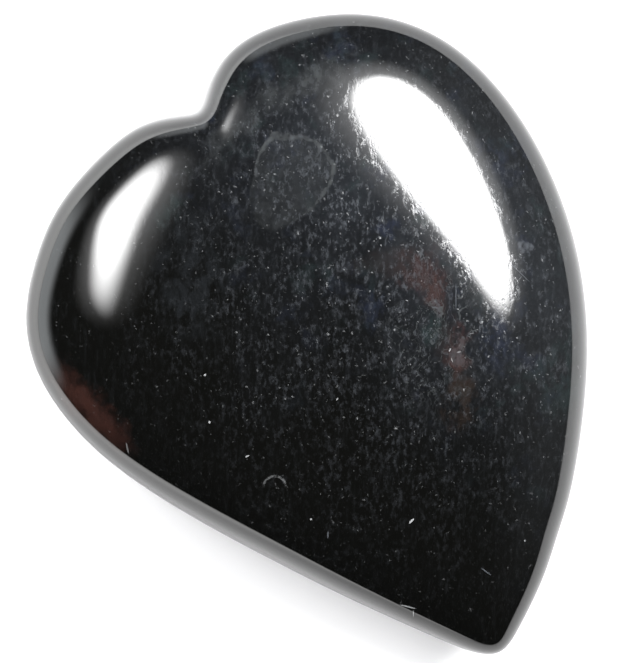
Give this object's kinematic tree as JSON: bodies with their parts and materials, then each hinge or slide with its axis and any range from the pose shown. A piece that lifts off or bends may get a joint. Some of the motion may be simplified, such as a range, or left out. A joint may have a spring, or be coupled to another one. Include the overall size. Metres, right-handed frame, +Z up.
{
  "type": "polished dyed tiger eye heart",
  "caption": "Puffy heart of dark dyed tiger eye, domed and polished on both faces, resting on a small ground flat.",
  "frame": {"origin": "under the middle of the heart's outline, on the plane that the ground flat rests on", "axes": "+Z up through the domes, +Y from the tip towards the two lobes, +X towards the larger lobe"},
  "size_m": [0.03, 0.0362, 0.0095],
  "materials": {
    "dyed_tiger_eye": "high polish over blue-black dyed fibrous quartz with faint silky fibres, a few red-brown patches and fine pits"
  },
  "bodies": {
    "root": {"tiger_eye_heart": "dyed_tiger_eye"}
  },
  "joints": []
}
